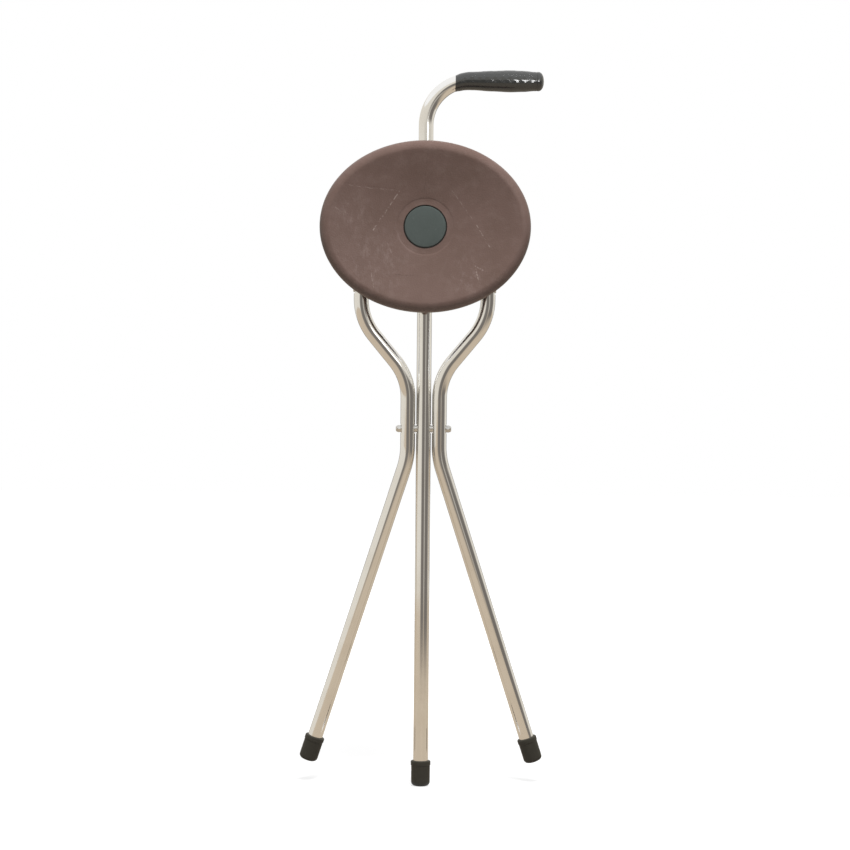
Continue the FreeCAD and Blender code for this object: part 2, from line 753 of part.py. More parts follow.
def make_seat_pan():
    """A moulded oval pan: a rounded rim, a shallow dish, a skirt and ribs beneath."""
    pan = new_body("seat_pan", SEAT)
    extrude(pan, "Pad", oval(pan, "seat_standoff", "0"), "rim_height")
    front = -value(RIM_TOP)

    def at_front(edge):
        box = edge.BoundBox
        return abs(box.YMin - front) < 0.01 and abs(box.YMax - front) < 0.01

    round_edges(pan, at_front, "rim_rounding")
    hollow = [oval(pan, "seat_standoff", "pan_wall"), oval(pan, SKIRT_TOP, "rim_rounding")]
    loft(pan, "SubtractiveLoft", hollow)
    cone = [
        disc(pan, f"{DISH_FLOOR} - pan_wall", f"{LAND_RADIUS} + pan_wall"),
        oval(pan, SKIRT_TOP, CREST_INSET),
    ]
    loft(pan, "AdditiveLoft", cone)
    frame = new_sketch(pan, "XZ_Plane", PLATE_FRONT)
    add_box(frame, "frame_width / 2", "frame_length / 2")
    add_box(frame, "frame_width / 2 - rib_thickness", "frame_length / 2 - rib_thickness")
    extrude(pan, "Pad", frame, f"{SKIRT_TOP} - {PLATE_FRONT}")
    boss = disc(pan, PLATE_FRONT, LAND_RADIUS)
    extrude(pan, "Pad", boss, f"{DISH_FLOOR} - {PLATE_FRONT}")
    ribs = new_sketch(pan, "XZ_Plane", "seat_standoff")
    add_box(ribs, f"{SEAT_HALF_X} - pan_wall / 2", "rib_thickness / 2")
    extrude(pan, "Pad", ribs, f"{SKIRT_TOP} - seat_standoff")
    for place in ("0 - rib_spacing", "0", "rib_spacing"):
        upright = new_sketch(pan, "XZ_Plane", "seat_standoff")
        reach = f"({SEAT_HALF_Z} - pan_wall / 2)"
        share = f"({place}) / {SEAT_HALF_X}"
        half = f"{reach} * sqrt(1 - ({share}) * ({share}))"
        add_box(upright, "rib_thickness / 2", half, place)
        extrude(pan, "Pad", upright, f"{SKIRT_TOP} - seat_standoff")
    dish = [disc(pan, DISH_FLOOR, LAND_RADIUS), oval(pan, RIM_TOP, CREST_INSET)]
    loft(pan, "SubtractiveLoft", dish)
    extrude(pan, "Pocket", disc(pan, DISH_FLOOR, CAP_RECESS_RADIUS), "cap_thickness")
    extrude(pan, "Pocket", disc(pan, CAP_BACK, "well_diameter / 2"), f"{CAP_BACK} - {WELL_BACK}")
    drill_screws(pan, WELL_BACK, "2 * well_floor")


def make_seat_cap():
    """The round cover over the seat's screws, with a collar that presses into the well."""
    cap = new_body("seat_cap", SEAT)
    extrude(cap, "Pad", disc(cap, CAP_BACK, "cap_diameter / 2"), "cap_thickness")
    rim = value("cap_diameter / 2")
    front = -value(DISH_FLOOR)
    cut_edges(cap, lambda edge: is_circle(edge, rim, Y_WAY, front), "cap_chamfer")
    collar = disc(cap, CAP_BACK, "well_diameter / 2", "well_diameter / 2 - cap_collar_wall")
    extrude(cap, "Pad", collar, "cap_collar_depth", reverse=True)


def make_seat_plate():
    plate = new_body("seat_plate", SEAT)
    sketch = new_sketch(plate, "XZ_Plane", WEB_FRONT)
    add_box(sketch, "plate_width / 2", "plate_length / 2")
    extrude(plate, "Pad", sketch, "plate_thickness")
    corners = [e for e in plate.Tip.Shape.Edges if abs(e.Length - value("plate_thickness")) < 0.01]
    marks = [edge.CenterOfMass for edge in corners]
    round_edges(
        plate, lambda edge: any((edge.CenterOfMass - m).Length < 0.01 for m in marks),
        "plate_corner_radius",
    )
    drill_screws(plate, PLATE_FRONT, "2 * plate_thickness")


def make_seat_channel():
    """A pressed steel channel with an ear at each end: one for the axle, one for the collar."""
    channel = new_body("seat_channel", SEAT)
    lean = REST_ANGLE
    far_y = AXLE_OFFSET
    far_z = LINK_RISE
    ear = "channel_ear_radius"
    top_y = f"{far_y} - {ear} * sin(channel_top_slope)"
    top_z = f"{far_z} + {ear} * cos(channel_top_slope)"
    corners = [
        (f"0 - {WEB_FRONT}", "0"),
        ("0", "0"),
        (f"{ear} * cos({lean})", f"0 - {ear} * sin({lean})"),
        (f"{far_y} + {ear} * cos({lean})", f"{far_z} - {ear} * sin({lean})"),
        (far_y, far_z),
        (top_y, top_z),
        (f"0 - {WEB_FRONT}", f"{top_z} - ({top_y} + {WEB_FRONT}) * tan(channel_top_slope)"),
    ]
    side = new_sketch(channel, "YZ_Plane")
    add_outline(side, corners)
    extrude(channel, "Pad", side, "channel_width", both_ways=True)
    for y, z in (("0", "0"), (far_y, far_z)):
        round_end = new_sketch(channel, "YZ_Plane")
        add_circle(round_end, y, z, ear)
        extrude(channel, "Pad", round_end, "channel_width", both_ways=True)
    inside = new_sketch(channel, "YZ_Plane")
    low = "0 - 2 * channel_ear_radius"
    high = f"{far_z} + 2 * channel_ear_radius"
    back = f"{far_y} + 2 * channel_ear_radius"
    web = "0 - channel_web_drop"
    add_outline(inside, [(web, low), (back, low), (back, high), (web, high)])
    extrude(channel, "Pocket", inside, "channel_width - 2 * channel_wall", both_ways=True)
    outer_y = -value(WEB_FRONT)
    outer_x = value("channel_width / 2")

    def outer_bend(edge):
        middle = edge.CenterOfMass
        return (
            abs(middle.y - outer_y) < 0.01
            and abs(abs(middle.x) - outer_x) < 0.01
            and edge.Length > outer_x
        )

    round_edges(channel, outer_bend, "channel_bend_radius")
    drill_screws(channel, WEB_FRONT, "2 * channel_wall")
    drill_across(channel, "axle_diameter / 2 + running_clearance + bush_wall")
    drill_across(channel, "collar_pin_diameter / 2 + running_clearance", far_z, across=far_y)


def make_bush(side):
    """A flanged nylon bush in the channel's lower ear."""
    label = f"hinge_bush_{side_name(side)}"
    bore = "axle_diameter / 2 + running_clearance"
    inner = "(channel_width / 2 - channel_wall)"
    outer = "channel_width / 2"
    bush = cross_ring(label, SEAT, bore, f"{bore} + bush_wall", side, inner, outer)
    flange = new_sketch(bush, "YZ_Plane", f"{side} * {outer}")
    add_circle(flange, "0", "0", "bush_flange_diameter / 2")
    add_circle(flange, "0", "0", bore)
    extrude(bush, "Pad", flange, "bush_flange_thickness", reverse=side < 0)


def make_seat_screw(number, across, up):
    """A screw from the well of the pan, and the nut behind the channel's web."""
    screw = new_body(f"seat_screw_{number}", SEAT)
    tip = "(channel_web_drop - seat_nut_height - seat_screw_overhang)"
    shank = new_sketch(screw, "XZ_Plane", tip)
    add_circle(shank, across, up, "seat_screw_diameter / 2")
    extrude(screw, "Pad", shank, f"{WELL_BACK} - {tip}")
    head = new_sketch(screw, "XZ_Plane", WELL_BACK)
    add_circle(head, across, up, "seat_screw_head_diameter / 2")
    extrude(screw, "Pad", head, "seat_screw_head_height")
    rim = value("seat_screw_head_diameter / 2")
    front = -value(f"{WELL_BACK} + seat_screw_head_height")
    cut_edges(screw, lambda edge: is_circle(edge, rim, Y_WAY, front), "head_chamfer")
    nut = new_body(f"seat_nut_{number}", SEAT)
    hexagon = new_sketch(nut, "XZ_Plane", "channel_web_drop - seat_nut_height")
    add_hexagon(hexagon, "seat_nut_across_flats", across, up)
    add_circle(hexagon, across, up, "seat_screw_diameter / 2")
    extrude(nut, "Pad", hexagon, "seat_nut_height")


def make_slide_collar():
    """The collar that slides on the stick, with a boss on each side for a hinge pin."""
    collar = new_body("slide_collar", COLLAR)
    outer = new_sketch(collar, "XY_Plane", "0 - collar_below")
    add_circle(outer, "0", "0", "collar_diameter / 2")
    extrude(collar, "Pad", outer, "collar_below + collar_above")
    rim = value("collar_diameter / 2")
    cut_edges(collar, lambda edge: is_circle(edge, rim, Z_WAY), "collar_chamfer")
    bosses = new_sketch(collar, "YZ_Plane")
    add_circle(bosses, "0", "0", "collar_boss_diameter / 2")
    extrude(collar, "Pad", bosses, "2 * collar_boss_reach", both_ways=True)
    bore = new_sketch(collar, "XY_Plane", "0 - collar_below")
    add_circle(bore, "0", "0", f"{TUBE_RADIUS} + collar_clearance")
    extrude(collar, "Pocket", bore, "2 * (collar_below + collar_above)", reverse=True)
    drill_across(collar, "collar_pin_diameter / 2")


def make_collar_pin(side):
    """A shouldered pin through the channel's upper ear into the collar's boss."""
    label = f"collar_pin_{side_name(side)}"
    start = f"{TUBE_RADIUS} + 2 * collar_clearance"
    face = "channel_width / 2 + side_clearance"
    shaft = cross_ring(label, COLLAR, None, "collar_pin_diameter / 2", side, start, face)
    head = new_sketch(shaft, "YZ_Plane", f"{side} * ({face})")
    add_circle(head, "0", "0", "collar_pin_head_diameter / 2")
    extrude(shaft, "Pad", head, "collar_pin_head_height", reverse=side < 0)
    rim = value("collar_pin_head_diameter / 2")
    end = side * value(f"{face} + collar_pin_head_height")
    cut_edges(shaft, lambda edge: is_circle(edge, rim, X_WAY, end), "head_chamfer")


make_stick_tube()
make_ferrule("stick_ferrule", STICK_FOOT)
make_ferrule_washer("stick_ferrule_washer", STICK_FOOT)
make_grip()
make_stop_pin()
for side in (-1, 1):
    make_leg_tube(side)
    make_ferrule(f"{side_name(side)}_ferrule", leg_foot(side))
    make_ferrule_washer(f"{side_name(side)}_ferrule_washer", leg_foot(side))
    make_leg_plug(side)
    make_pivot(side)
    make_axle_side(side)
    make_bush(side)
    make_collar_pin(side)
make_pivot_bolt()
make_seat_axle()
make_seat_pan()
make_seat_cap()
make_seat_plate()
make_seat_channel()
for number, (across, up) in enumerate(screw_places(), start=1):
    make_seat_screw(number, across, up)
make_slide_collar()

doc.recompute()


def failed(feature):
    return any(word in " ".join(feature.State) for word in ("Invalid", "Error"))


for body in subparts:
    shape = body.Shape
    sound = not shape.isNull() and shape.isValid() and len(shape.Solids) == 1
    if not sound or any(failed(feature) for feature in [body] + body.Group):
        raise RuntimeError(f"{body.Label} did not build as one valid solid")

os.makedirs("parts", exist_ok=True)
for body in subparts:
    body.Shape.exportStep(f"parts/{body.Label}.step")
    box = body.Shape.BoundBox
    low = (round(box.XMin, 1), round(box.YMin, 1), round(box.ZMin, 1))
    high = (round(box.XMax, 1), round(box.YMax, 1), round(box.ZMax, 1))
    print(f"{body.Label}: {low} to {high}, {body.Shape.Volume / 1000:.2f} cm3")
print(f"{len(subparts)} pieces exported")
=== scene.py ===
"""Looks for the walking stick seat: drawn aluminium tubes, a moulded seat, a pimpled grip and rubber feet.

The pieces are in the CAD frame, in metres: X along the handle, Z up the stick, the seat faces -Y.
"""
import math

import bmesh
import bpy
import numpy as np
from mathutils import Matrix, Vector


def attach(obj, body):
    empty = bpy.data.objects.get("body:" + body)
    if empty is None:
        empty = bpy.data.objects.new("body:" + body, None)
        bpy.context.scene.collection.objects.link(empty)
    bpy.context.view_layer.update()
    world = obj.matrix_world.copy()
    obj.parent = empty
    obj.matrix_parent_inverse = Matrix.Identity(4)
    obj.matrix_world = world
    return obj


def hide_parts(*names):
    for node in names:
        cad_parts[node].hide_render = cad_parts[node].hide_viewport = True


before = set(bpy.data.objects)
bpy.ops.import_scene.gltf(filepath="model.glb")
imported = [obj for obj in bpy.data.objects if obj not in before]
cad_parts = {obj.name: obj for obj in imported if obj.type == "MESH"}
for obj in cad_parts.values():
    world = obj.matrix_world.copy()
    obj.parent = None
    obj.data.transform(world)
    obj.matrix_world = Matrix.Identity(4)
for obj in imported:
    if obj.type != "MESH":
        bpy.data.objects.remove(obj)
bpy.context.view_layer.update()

MM = 0.001
UP = Vector((0, 0, 1))

# Sizes in millimetres, as in the CAD
TUBE_DIAMETER = 17.5
TUBE_WALL = 1.5
TUBE_PITCH = 18.7
HANDLE_BEND_RADIUS = 53
STICK_OFFSET = 87
PIVOT_DROP = 414
HANDLE_HEIGHT = 838
HANDLE_END = 49.5
TUBE_FOOT = 8.5
LEG_TOP_REACH = 75
LEG_TOP = 175
LINK_LENGTH = 166
SHOULDER_HEIGHT = 129.5
WAIST_HEIGHT = 61
KNEE_DROP = 34.5
FOOT_DROP = 400
SHOULDER_BEND_RADIUS = 68
KNEE_BEND_RADIUS = 90
LEG_SPLAY = math.radians(17.8)
AXLE_OFFSET = 14.05
LEG_LEAN = math.asin(AXLE_OFFSET / LINK_LENGTH)

STICK = Matrix.Translation((-STICK_OFFSET * MM, 0, -PIVOT_DROP * MM))
LEGS = STICK @ Matrix.Rotation(LEG_LEAN, 4, "X")
SEAT_HEIGHT = math.sqrt(LINK_LENGTH ** 2 - AXLE_OFFSET ** 2) + 72
SEAT = STICK @ Matrix.Translation((0, -AXLE_OFFSET * MM, SEAT_HEIGHT * MM))


# Mesh building


def smooth_object(name, mesh, crease, merge):
    """An object with smooth faces and sharp edges where they meet at more than crease degrees."""
    bm = bmesh.new()
    bm.from_mesh(mesh)
    if merge:
        bmesh.ops.remove_doubles(bm, verts=bm.verts, dist=1e-7)
    bmesh.ops.recalc_face_normals(bm, faces=bm.faces)
    for face in bm.faces:
        face.smooth = True
    for edge in bm.edges:
        if edge.is_manifold and edge.calc_face_angle() > math.radians(crease):
            edge.smooth = False
    bm.to_mesh(mesh)
    bm.free()
    obj = bpy.data.objects.new(name, mesh)
    bpy.context.scene.collection.objects.link(obj)
    return obj


def new_mesh(name, vertices, faces):
    mesh = bpy.data.meshes.new(name)
    mesh.from_pydata([tuple(v) for v in vertices], [], faces)
    return mesh


def new_object(name, vertices, faces, crease=35):
    return smooth_object(name, new_mesh(name, vertices, faces), crease, merge=True)


def skin(rings, looped=False):
    """Vertices and faces of a surface through closed rings of equal length."""
    count = len(rings[0])
    vertices = [point for ring in rings for point in ring]
    pairs = list(zip(range(len(rings)), range(1, len(rings))))
    if looped:
        pairs.append((len(rings) - 1, 0))
    faces = []
    for first, second in pairs:
        for i in range(count):
            j = (i + 1) % count
            faces.append((first * count + i, first * count + j,
                          second * count + j, second * count + i))
    return vertices, faces


def rounded(corners, radii, steps=8):
    """The outline through 2D corners, with an arc of the given radius at each."""
    points = []
    count = len(corners)
    for i, (corner, radius) in enumerate(zip(corners, radii)):
        here = Vector(corner)
        if not radius:
            points.append(here)
            continue
        back = (Vector(corners[i - 1]) - here).normalized()
        ahead = (Vector(corners[(i + 1) % count]) - here).normalized()
        half = back.angle(ahead) / 2
        centre = here + (back + ahead).normalized() * radius / math.sin(half)
        first = here + back * radius / math.tan(half) - centre
        last = here + ahead * radius / math.tan(half) - centre
        sweep = math.atan2(first.x * last.y - first.y * last.x, first.dot(last))
        for k in range(steps + 1):
            turn = sweep * k / steps
            spoke = Vector((first.x * math.cos(turn) - first.y * math.sin(turn),
                            first.x * math.sin(turn) + first.y * math.cos(turn)))
            points.append(centre + spoke)
    return points


def turned(name, outline, place, segments=72):
    """A solid turned about Z: outline holds (radius, height) pairs in millimetres."""
    rings = []
    for radius, height in outline:
        ring = []
        for i in range(segments):
            angle = 2 * math.pi * i / segments
            spot = Vector((radius * math.cos(angle), radius * math.sin(angle), height)) * MM
            ring.append(place @ spot)
        rings.append(ring)
    return new_object(name, *skin(rings, looped=True))


# Tubes

TUBE_CREASE = 40
# Rings lie closer together within this height of a pressed flat
FLAT_REACH = 12
FLAT_CUTS = 4


def bent_line(corners, radii, step=2.0):
    """Points along straight runs joined by arcs, in a plane, with the way forward at each."""
    corners = [Vector(c) for c in corners]
    line = []
    start = corners[0]
    for i in range(1, len(corners)):
        ahead = (corners[i] - corners[i - 1]).normalized()
        if i == len(corners) - 1:
            end, arc = corners[i], []
        else:
            leave = (corners[i + 1] - corners[i]).normalized()
            bend = ahead.angle(leave)
            cut = radii[i - 1] * math.tan(bend / 2)
            end = corners[i] - ahead * cut
            side = (leave - ahead * leave.dot(ahead)).normalized()
            centre = end + side * radii[i - 1]
            count = max(2, math.ceil(bend * radii[i - 1] / step))
            arc = []
            for k in range(1, count + 1):
                turn = bend * k / count
                spot = centre - side * radii[i - 1] * math.cos(turn)
                spot += ahead * radii[i - 1] * math.sin(turn)
                arc.append((spot, ahead * math.cos(turn) + side * math.sin(turn)))
        count = max(1, round((end - start).length / step))
        for k in range(count + 1):
            line.append((start.lerp(end, k / count), ahead))
        line.extend(arc[:-1])
        if arc:
            start = arc[-1][0]
    return line


def smooth_step(t):
    t = min(max(t, 0), 1)
    return t * t * (3 - 2 * t)


def pressed(point, flats):
    """The point of a tube's skin after round flats are pressed into it, in the tube's own plane."""
    for middle, height, depth, diameter, run_out in flats:
        radius = TUBE_DIAMETER / 2
        away = abs(point.z - height) - diameter / 2
        if away < run_out and abs(point.x - middle) < radius + 1:
            rise = depth * smooth_step(away / run_out)
            limit = radius - depth + rise
            across = point.x - middle
            point = Vector((middle + max(-limit, min(limit, across)), point.y, point.z))
    return point


def bent_tube(name, place, corners, radii, flats, segments=56):
    """A thin-walled tube along a bent line. Each point keeps its place round and along the tube."""
    line = bent_line(corners, radii)
    fine = []
    for (spot, way), (following, _) in zip(line, line[1:]):
        near = any(abs(spot.y - height) < FLAT_REACH for _, height, *_ in flats)
        cuts = FLAT_CUTS if near else 1
        fine.extend((spot.lerp(following, k / cuts), way) for k in range(cuts))
    fine.append(line[-1])
    rings, marks = [], []
    for radius in (TUBE_DIAMETER / 2, TUBE_DIAMETER / 2 - TUBE_WALL):
        walk = 0.0
        layer, layer_marks = [], []
        for k, (spot, way) in enumerate(fine):
            walk += (spot - fine[k - 1][0]).length if k else 0
            side = Vector((way.y, -way.x))
            ring = []
            for i in range(segments):
                angle = 2 * math.pi * i / segments
                out = side * radius * math.cos(angle)
                point = Vector((spot.x + out.x, radius * math.sin(angle), spot.y + out.y))
                if radius == TUBE_DIAMETER / 2:
                    point = pressed(point, flats)
                ring.append(place @ (point * MM))
                layer_marks.append((radius * math.cos(angle) * MM, radius * math.sin(angle) * MM,
                                    walk * MM))
            layer.append(ring)
        rings.append(layer)
        marks.append(layer_marks)
    vertices, faces = skin(rings[0] + rings[1][::-1], looped=True)
    mesh = new_mesh(name, vertices, faces)
    inner = [marks[1][k * segments + i] for k in reversed(range(len(fine))) for i in range(segments)]
    drawn = mesh.attributes.new("drawn", "FLOAT_VECTOR", "POINT")
    drawn.data.foreach_set("vector", np.array(marks[0] + inner, np.float32).ravel())
    return smooth_object(name, mesh, TUBE_CREASE, merge=False)


# Depth, diameter and run-out of the flats pressed into a tube
PIVOT_FLAT = (1.3, 9.2, 0.8)
AXLE_FLAT = (1.8, 10.4, 0.8)


def make_stick():
    foot = TUBE_FOOT - (HANDLE_HEIGHT - PIVOT_DROP)
    corners = [(0, foot), (0, PIVOT_DROP), (HANDLE_END + STICK_OFFSET, PIVOT_DROP)]
    return bent_tube("drawn_stick", STICK, corners, [HANDLE_BEND_RADIUS], [(0, 0, *PIVOT_FLAT)])


def make_leg(side, name):
    run = FOOT_DROP - KNEE_DROP - TUBE_FOOT * math.cos(LEG_SPLAY)
    corners = [
        (side * LEG_TOP_REACH, LEG_TOP),
        (side * LEG_TOP_REACH, SHOULDER_HEIGHT),
        (side * TUBE_PITCH, WAIST_HEIGHT),
        (side * TUBE_PITCH, -KNEE_DROP),
        (side * (TUBE_PITCH + run * math.tan(LEG_SPLAY)), -KNEE_DROP - run),
    ]
    radii = [SHOULDER_BEND_RADIUS, SHOULDER_BEND_RADIUS, KNEE_BEND_RADIUS]
    flats = [(side * TUBE_PITCH, 0, *PIVOT_FLAT), (side * LEG_TOP_REACH, LINK_LENGTH, *AXLE_FLAT)]
    return bent_tube(name, LEGS, corners, radii, flats)


# Ferrules

FERRULE_RADIUS = 11.7
FERRULE_LENGTH = 30
FERRULE_FLOOR = 7
LIP_LENGTH = 5
BODY_INSET = 0.55
TREAD_DEPTH = 0.8


def make_ferrule(name, place):
    """A rubber cup with a bevelled lip, a rolled bottom edge and two tread rings."""
    bore = TUBE_DIAMETER / 2
    body = FERRULE_RADIUS - BODY_INSET
    lip = FERRULE_LENGTH - LIP_LENGTH
    corners = [
        (0, FERRULE_FLOOR), (bore, FERRULE_FLOOR), (bore, FERRULE_LENGTH),
        (FERRULE_RADIUS, FERRULE_LENGTH), (FERRULE_RADIUS, lip), (body, lip - 0.8), (body, 0),
        (5.9, 0), (5.7, TREAD_DEPTH), (4.6, TREAD_DEPTH), (4.4, 0),
        (2.8, 0), (2.6, TREAD_DEPTH), (0, TREAD_DEPTH),
    ]
    radii = [0, 0, 0.5, 1.3, 0.4, 0.4, 5.0, 0.15, 0.15, 0.15, 0.15, 0.15, 0.15, 0]
    return turned(name, rounded(corners, radii), place)


def foot_place(side):
    """The tip of a leg, with Z up along the splayed run of the tube."""
    reach = (FOOT_DROP - KNEE_DROP) * math.tan(LEG_SPLAY)
    tip = Vector((side * (TUBE_PITCH + reach), 0, -FOOT_DROP)) * MM
    return LEGS @ Matrix.Translation(tip) @ Matrix.Rotation(-side * LEG_SPLAY, 4, "Y")


# Hand grip

GRIP_START = -52.5
GRIP_END = 52.5
GRIP_SEGMENTS = 144
STATION_STEP = 0.6
PIP_START = 6.0
PIP_PITCH = 9.0
PIP_ROW_ANGLE = math.radians(18)
PIP_HEIGHT = 0.17
# The skin between the pips lies this far inside the grip's radius
PIP_SINK = 0.1
NOSE_LENGTH = 8.4
# A low step and a plain band lie between the pips and the rounding of the nose
NOSE_STEP = 0.35
NOSE_BAND = 2.2
NOSE_TURNS = 12
NOSE_FULLNESS = 0.9
GRIP_CREASE = 50


def grip_radius(share):
    """Radius along the grip: a narrow mouth, a neck, a full palm and a slimmer nose."""
    stops = [(0, 9.8), (0.06, 10.5), (0.2, 11.0), (0.41, 12.2), (0.62, 13.0), (0.76, 12.5),
             (0.9, 11.4), (1, 11.1)]
    for (a, low), (b, high) in zip(stops, stops[1:]):
        if share <= b:
            return low + (high - low) * smooth_step((share - a) / (b - a))
    return stops[-1][1]


def grip_sag(x):
    """How far the middle of the grip lies under the handle's straight run, near its bend."""
    bend_end = -STICK_OFFSET + HANDLE_BEND_RADIUS
    if x >= bend_end:
        return 0
    return HANDLE_BEND_RADIUS - math.sqrt(HANDLE_BEND_RADIUS ** 2 - (bend_end - x) ** 2)


def pip_lift(x, angle):
    """Low round pips in rows along the grip, each row half a pitch on, that fade out underneath."""
    around = angle / PIP_ROW_ANGLE
    row = round(around)
    along = (x - GRIP_START - PIP_START) / PIP_PITCH + 0.5 * (row % 2)
    swell = 0.5 + 0.5 * math.cos(2 * math.pi * along)
    swell *= 0.5 + 0.5 * math.cos(2 * math.pi * (around - row))
    fade = smooth_step((x - GRIP_START - 4) / 8) * smooth_step((GRIP_END - 9 - x) / 5)
    fade *= smooth_step((math.sin(angle) + 0.75) / 0.4)
    return PIP_HEIGHT * fade * swell


def grip_ring(x, radius, pips=False):
    """A ring round the handle, from its underside on, plain or with pips."""
    ring = []
    for i in range(GRIP_SEGMENTS):
        angle = 2 * math.pi * i / GRIP_SEGMENTS - math.pi / 2
        r = radius + (pip_lift(x, math.remainder(angle, 2 * math.pi)) if pips else 0)
        ring.append(Vector((x, -r * math.cos(angle), r * math.sin(angle) - grip_sag(x))) * MM)
    return ring


def make_grip():
    stations = np.arange(GRIP_START, GRIP_END - NOSE_LENGTH, STATION_STEP)
    outer = []
    for x in stations:
        radius = grip_radius((x - GRIP_START) / (GRIP_END - GRIP_START))
        outer.append(grip_ring(x, radius - PIP_SINK, pips=True))
    base = grip_radius(1) - PIP_SINK
    full = base + NOSE_STEP
    nose = [(0.0, base), (0.35, base), (0.6, full), (NOSE_BAND, full)]
    start = stations[-1] + 0.4
    room = GRIP_END - start - NOSE_BAND
    for k in range(1, NOSE_TURNS + 1):
        turn = math.pi / 2 * k / NOSE_TURNS
        nose.append((NOSE_BAND + room * math.sin(turn), full * math.cos(turn) ** NOSE_FULLNESS))
    outer.extend(grip_ring(start + along, radius) for along, radius in nose)
    inner = [grip_ring(x, TUBE_DIAMETER / 2) for x in np.arange(GRIP_START, HANDLE_END + 0.1, 3.0)]
    inner.append([Vector((inner[-1][0].x, 0, 0))] * GRIP_SEGMENTS)
    return new_object("pimpled_grip", *skin(inner[::-1] + outer), crease=GRIP_CREASE)


# Seat pan and cap

SEAT_HALF = (124.0, 101.0)
STANDOFF = 15
RIM_TOP = 31.5
RIM_ROUNDING = 9
RIM_ROLL = 10.0
PAN_WALL = 3.5
DISH_FLOOR = 19.5
LAND_RADIUS = 33.5
CAP_RADIUS = 24.5
RECESS_RADIUS = 25
WELL_RADIUS = 21.5
PLATE_FRONT = 11
FRAME_HALF = (48, 58)
RIB_THICKNESS = 2.5
RIB_SPACING = 32
RIB_INSET = 6
RIB_CHAMFER = 0.4
RIB_BITE = 1.2
WELL_FLOOR = 14
RECESS_DEPTH = 2.5
CREST_INSET = 12.6
BOWL_STEPS = 44
# The underside falls from this far inside the rim to this radius, by this much
UNDER_INSET = 12
UNDER_RADIUS = 37
UNDER_FALL = 12
PAN_SEGMENTS = 256
CAP_SEGMENTS = 128
PAN_CREASE = 28
CAP_CREASE = 40


def oval_ring(half_x, half_z, depth, segments):
    """A ring round the middle of the seat, at a depth in front of the axle."""
    ring = []
    for i in range(segments):
        angle = 2 * math.pi * i / segments
        spot = Vector((half_x * math.cos(angle), -depth, half_z * math.sin(angle)))
        ring.append(SEAT @ (spot * MM))
    return ring


def pan_profile():
    """(half width, half height, depth) of each ring, from the middle of the front to the back."""
    wide, tall = SEAT_HALF
    rows = [(0, 0, WELL_FLOOR)]

    def circle(radius, depth):
        rows.append((radius, radius, depth))

    def inset(amount, depth):
        rows.append((wide - amount, tall - amount, depth))

    circle(WELL_RADIUS, WELL_FLOOR)
    circle(WELL_RADIUS, DISH_FLOOR - RECESS_DEPTH)
    circle(RECESS_RADIUS, DISH_FLOOR - RECESS_DEPTH)
    circle(RECESS_RADIUS, DISH_FLOOR - 0.4)
    circle(RECESS_RADIUS + 0.4, DISH_FLOOR)
    circle(LAND_RADIUS - 1.1, DISH_FLOOR)
    circle(LAND_RADIUS - 0.5, DISH_FLOOR + 0.12)
    circle(LAND_RADIUS + 0.3, DISH_FLOOR + 0.5)
    start = LAND_RADIUS + 0.7
    for k in range(BOWL_STEPS + 1):
        share = k / BOWL_STEPS
        half_x = start + (wide - CREST_INSET - start) * share
        half_z = start + (tall - CREST_INSET - start) * share
        bowl = 0.8 * share + 0.2 * share * share
        rows.append((half_x, half_z, DISH_FLOOR + 0.6 + (RIM_TOP - DISH_FLOOR - 1.0) * bowl))
    inset(11.9, RIM_TOP - 0.26)
    inset(11.0, RIM_TOP - 0.08)
    for k in range(19):
        turn = math.pi / 2 * k / 18
        inset(RIM_ROLL * (1 - math.sin(turn)), RIM_TOP - RIM_ROUNDING * (1 - math.cos(turn)))
    inset(0, STANDOFF + 0.8)
    inset(0.25, STANDOFF + 0.2)
    inset(0.8, STANDOFF)
    inset(PAN_WALL - 0.7, STANDOFF)
    inset(PAN_WALL - 0.2, STANDOFF + 0.2)
    inset(PAN_WALL, STANDOFF + 0.8)
    for k in range(1, 9):
        share = k / 8
        inset(PAN_WALL + 5.5 * share, STANDOFF + 0.8 + (RIM_TOP - PAN_WALL - STANDOFF - 2.3) * share)
    inset(10.2, RIM_TOP - PAN_WALL - 0.4)
    for k in range(31):
        share = k / 30
        half_x = (wide - UNDER_INSET) + (UNDER_RADIUS - wide + UNDER_INSET) * share
        half_z = (tall - UNDER_INSET) + (UNDER_RADIUS - tall + UNDER_INSET) * share
        rows.append((half_x, half_z, (RIM_TOP - PAN_WALL) - UNDER_FALL * share))
    circle(34.3, 16)
    circle(LAND_RADIUS, 15.2)
    circle(LAND_RADIUS, PLATE_FRONT)
    rows.append((0, 0, PLATE_FRONT))
    return rows


def under_depth(x, z):
    """Depth of the pan's underside behind a point of its face."""
    wide, tall = SEAT_HALF
    low, high = 0.0, 1.0
    for _ in range(24):
        middle = (low + high) / 2
        half_x = UNDER_RADIUS + (wide - UNDER_INSET - UNDER_RADIUS) * middle
        half_z = UNDER_RADIUS + (tall - UNDER_INSET - UNDER_RADIUS) * middle
        if (x / half_x) ** 2 + (z / half_z) ** 2 > 1:
            low = middle
        else:
            high = middle
    return RIM_TOP - PAN_WALL - UNDER_FALL + UNDER_FALL * low


